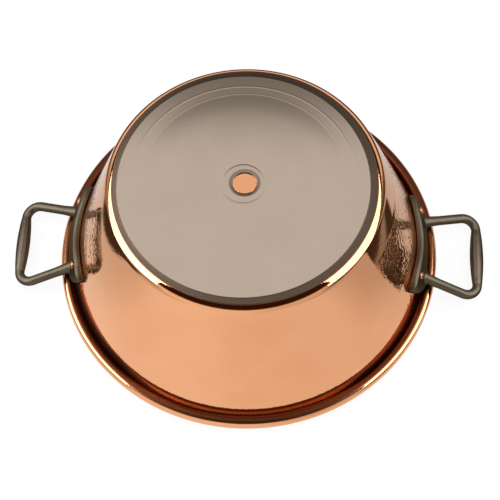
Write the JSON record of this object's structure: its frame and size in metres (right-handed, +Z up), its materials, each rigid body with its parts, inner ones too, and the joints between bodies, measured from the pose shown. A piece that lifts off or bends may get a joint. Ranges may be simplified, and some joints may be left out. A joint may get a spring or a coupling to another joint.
{
  "type": "jam pan",
  "caption": "Wide copper preserving pan stood upside down: conical wall, rolled rim, steel-faced base and riveted cast-iron side handles.",
  "frame": {"origin": "on the pan's axis, level with the lowest point of the rim that the upturned pan stands on", "axes": "+Z up the pan's axis, out of its underside: the pan is upside down, and half a turn about X puts it the right way up. X runs through both handles. Y completes the right-handed frame."},
  "size_m": [0.4742, 0.38, 0.147],
  "materials": {
    "polished_copper": "mirror-polished copper",
    "rivet_copper": "dull copper",
    "satin_steel": "satin, warm grey",
    "drawn_steel": "drawn wire",
    "cast_iron": "burnished dark brown casting"
  },
  "bodies": {
    "root": {"pan_body": "polished_copper", "rim_wire": "drawn_steel", "base_plate": "satin_steel", "handle_right": "cast_iron", "handle_left": "cast_iron", "rivet_right_front": "rivet_copper", "rivet_right_back": "rivet_copper", "rivet_left_front": "rivet_copper", "rivet_left_back": "rivet_copper"}
  },
  "joints": []
}
